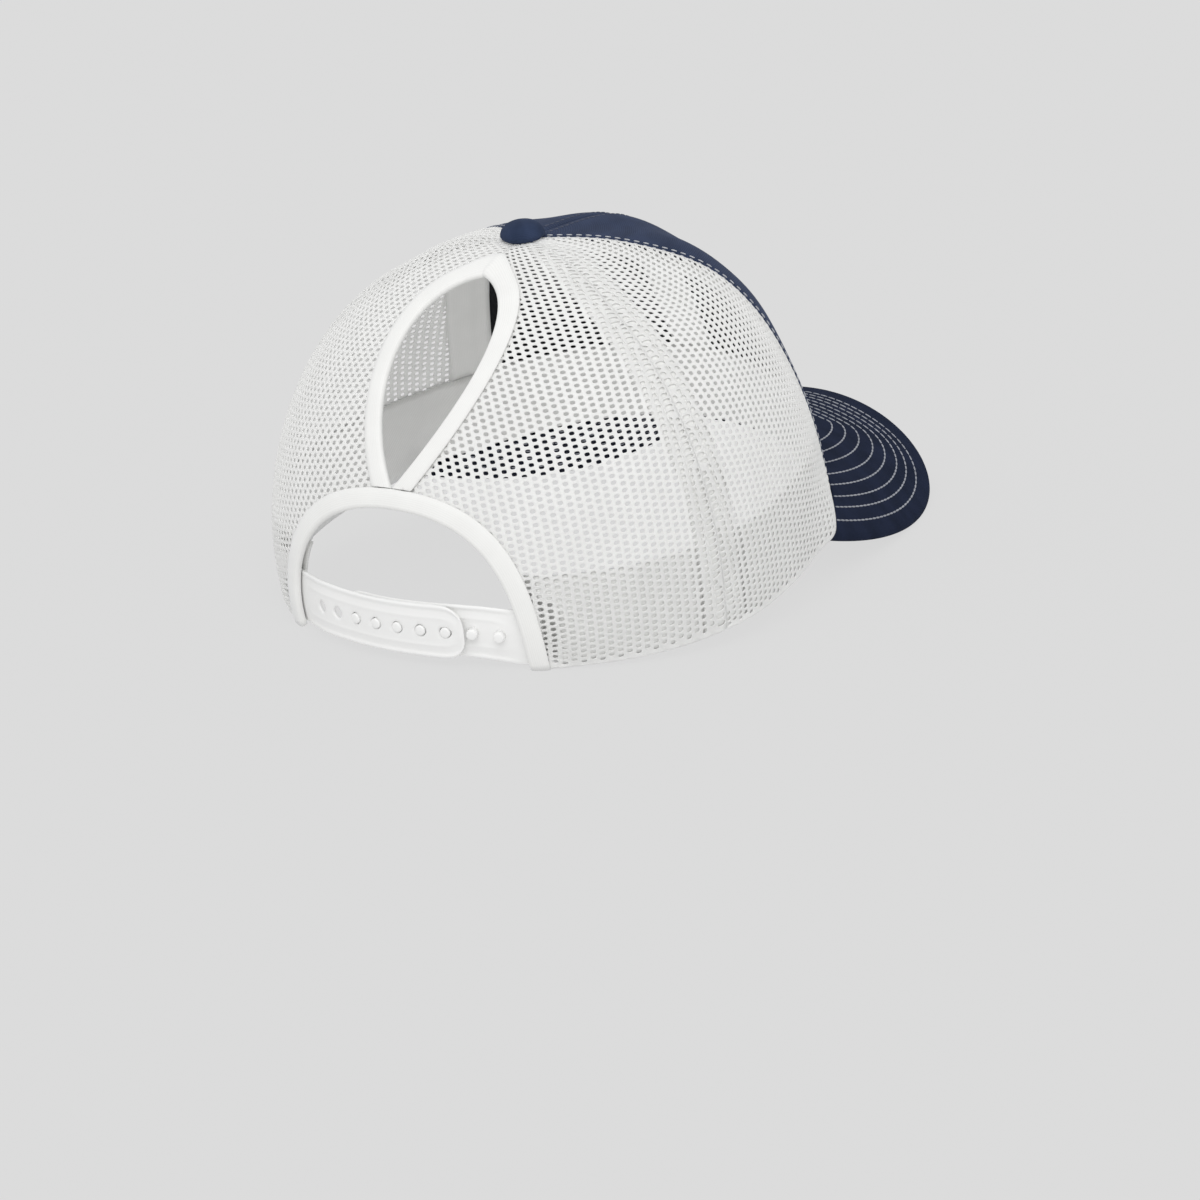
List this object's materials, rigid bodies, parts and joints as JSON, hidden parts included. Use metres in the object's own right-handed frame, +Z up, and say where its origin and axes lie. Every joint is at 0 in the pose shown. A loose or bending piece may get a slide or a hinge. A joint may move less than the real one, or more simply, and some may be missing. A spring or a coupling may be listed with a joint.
{
  "type": "ponytail baseball cap",
  "caption": "Baseball cap with cloth front panels, net sides and back, a curved visor, a teardrop ponytail opening and an arched rear opening closed by a snap strap.",
  "frame": {"origin": "middle of the footprint, on the surface that the cap stands on", "axes": "+Z up, -Y the way the visor points, +X the wearer's left"},
  "size_m": [0.1822, 0.2542, 0.124],
  "materials": {
    "navy_twill": "matt navy cotton twill",
    "white_net": "white knitted polyester net with small round holes",
    "white_tape": "white woven tape, matt",
    "white_band": "white brushed twill sweatband",
    "white_plastic": "moulded white polyethylene with a soft sheen"
  },
  "bodies": {
    "root": {"front_panel_right": "navy_twill", "front_panel_left": "navy_twill", "side_net_right": "white_net", "side_net_left": "white_net", "rear_net_right": "white_net", "rear_net_left": "white_net", "seam_tape_front": "white_tape", "seam_tape_front_side_right": "white_tape", "seam_tape_front_side_left": "white_tape", "seam_tape_side_rear_right": "white_tape", "seam_tape_side_rear_left": "white_tape", "sweatband": "white_band", "arch_binding": "white_tape", "teardrop_binding": "white_tape", "button": "navy_twill", "visor_top": "navy_twill", "visor_underside": "navy_twill", "strap_with_holes": "white_plastic", "strap_with_pegs": "white_plastic"}
  },
  "joints": []
}
